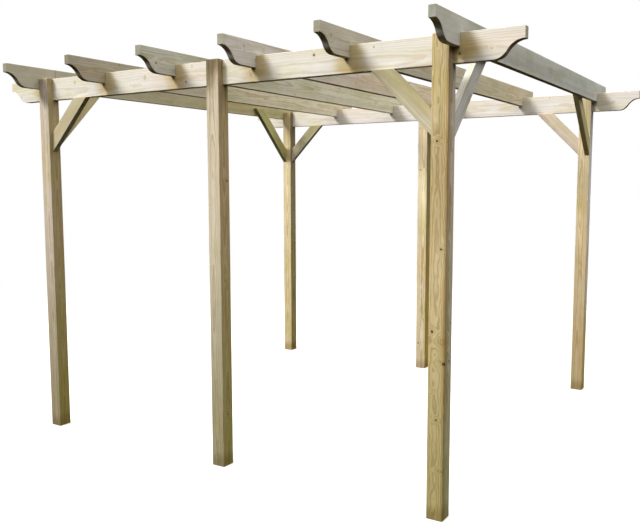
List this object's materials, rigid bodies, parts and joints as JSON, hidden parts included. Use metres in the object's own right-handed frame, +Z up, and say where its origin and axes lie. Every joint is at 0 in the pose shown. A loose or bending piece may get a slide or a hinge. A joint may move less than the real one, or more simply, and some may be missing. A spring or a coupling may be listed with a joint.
{
  "type": "free-standing timber garden pergola",
  "caption": "Open garden pergola of square timber posts, scroll-ended beams and rafters halved over them, and 45 degree corner braces.",
  "frame": {"origin": "on the ground at the centre of the plan", "axes": "+X along the beams to the right, +Y along the rafters to the back, +Z up"},
  "size_m": [3.74, 3.53, 2.527],
  "materials": {
    "post_timber": "planed pressure-treated softwood, yellow-tan, dry and unvarnished",
    "beam_timber": "planed pressure-treated softwood, pale cream, dry and unvarnished",
    "rafter_timber": "planed pressure-treated softwood, pale grey-green, dry and unvarnished",
    "brace_timber": "planed pressure-treated softwood, yellow-green tan, dry and unvarnished"
  },
  "bodies": {
    "root": {"front_left_post": "post_timber", "front_middle_post": "post_timber", "front_right_post": "post_timber", "back_left_post": "post_timber", "back_middle_post": "post_timber", "back_right_post": "post_timber", "front_beam": "beam_timber", "back_beam": "beam_timber", "rafter_1": "rafter_timber", "rafter_2": "rafter_timber", "rafter_3": "rafter_timber", "rafter_4": "rafter_timber", "rafter_5": "rafter_timber", "rafter_6": "rafter_timber", "front_left_beam_brace": "brace_timber", "front_right_beam_brace": "brace_timber", "back_left_beam_brace": "brace_timber", "back_right_beam_brace": "brace_timber", "front_left_rafter_brace": "brace_timber", "front_right_rafter_brace": "brace_timber", "back_left_rafter_brace": "brace_timber", "back_right_rafter_brace": "brace_timber"}
  },
  "joints": []
}
